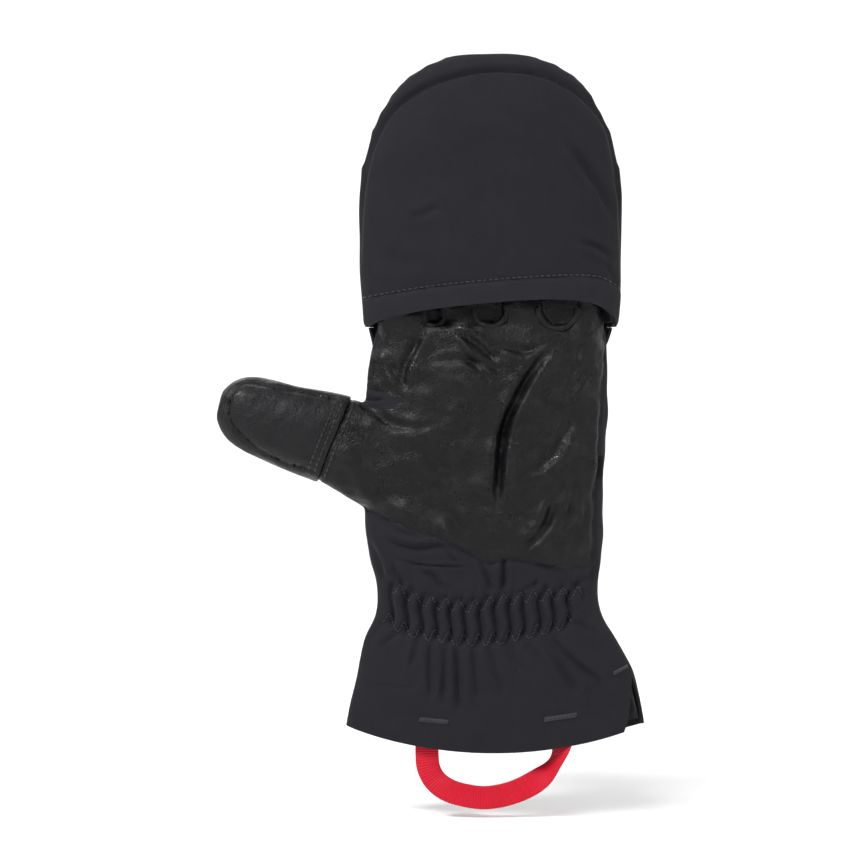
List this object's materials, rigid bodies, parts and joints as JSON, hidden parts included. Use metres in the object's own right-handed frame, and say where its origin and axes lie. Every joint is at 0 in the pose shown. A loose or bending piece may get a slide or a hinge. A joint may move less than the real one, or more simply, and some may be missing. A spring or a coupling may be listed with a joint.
{
  "type": "ski mitten",
  "caption": "Left-hand convertible ski mitten: half-finger glove with leather palm, flip-back hood and thumb cap, elastic wrist, flared cuff and webbing pull loop.",
  "frame": {"origin": "centre of the hand opening at the wrist elastic, between the two stitched rows", "axes": "+Z from the wrist to the fingertips, +Y out of the back of the hand (the palm faces -Y), -X towards the thumb"},
  "size_m": [0.1865, 0.0313, 0.3303],
  "materials": {
    "softshell": "matt charcoal softshell, fine knit face",
    "leather": "black grained leather, semi-gloss, creased",
    "thumb_leather": "black grained leather, semi-gloss, padded",
    "insulation": "fibre wadding",
    "lining": "brushed knit",
    "elastic": "woven elastic",
    "thread": "polyester sewing thread",
    "webbing": "red ribbed polyester webbing",
    "magnet": "plated disc magnet"
  },
  "bodies": {
    "glove": {"palm_leather": "leather", "palm_insulation": "insulation", "palm_lining": "lining", "back_panel": "softshell", "back_insulation": "insulation", "back_lining": "lining", "back_magnet": "magnet", "thumb_gusset": "softshell", "thumb_sheath": "lining", "fourchette_index_middle": "leather", "fourchette_middle_ring": "leather", "fourchette_ring_little": "leather", "cuff_palm_panel": "softshell", "cuff_back_panel": "softshell", "cuff_lining_palm": "lining", "cuff_lining_back": "lining", "wrist_elastic": "elastic", "hood_skirt": "softshell", "pull_loop_ends": "webbing", "elastic_stitches": "thread", "thumb_base_stitches": "thread", "loop_bartacks": "thread", "slit_bartack": "thread"},
    "hood": {"hood_palm_panel": "softshell", "hood_hem_band": "softshell", "hood_back_panel": "softshell", "hood_palm_insulation": "insulation", "hood_back_insulation": "insulation", "hood_palm_lining": "lining", "hood_back_lining": "lining", "hood_magnet": "magnet", "hood_hem_stitches": "thread"},
    "thumb_cap": {"thumb_cap_pad": "thumb_leather", "thumb_cap_rim": "thumb_leather", "thumb_cap_back": "thumb_leather", "thumb_cap_lining": "lining", "thumb_cap_stitches": "thread"},
    "pull_loop": {"pull_loop": "webbing"}
  },
  "joints": [
    {"name": "hood_flip", "type": "hinge", "parent": "glove", "child": "hood", "pos_m": [0, 0.0145, 0.126], "axis": [-1, 0, 0], "range_deg": [0, 175]},
    {"name": "thumb_cap_flip", "type": "hinge", "parent": "glove", "child": "thumb_cap", "pos_m": [-0.0685, 0.011, 0.077], "axis": [-0.3746, 0, -0.9272], "range_deg": [0, 100]},
    {"name": "pull_loop_swing", "type": "hinge", "parent": "glove", "child": "pull_loop", "pos_m": [0.0008, -0.0073, -0.0594], "axis": [1, 0, 0], "range_deg": [-35, 35]}
  ]
}
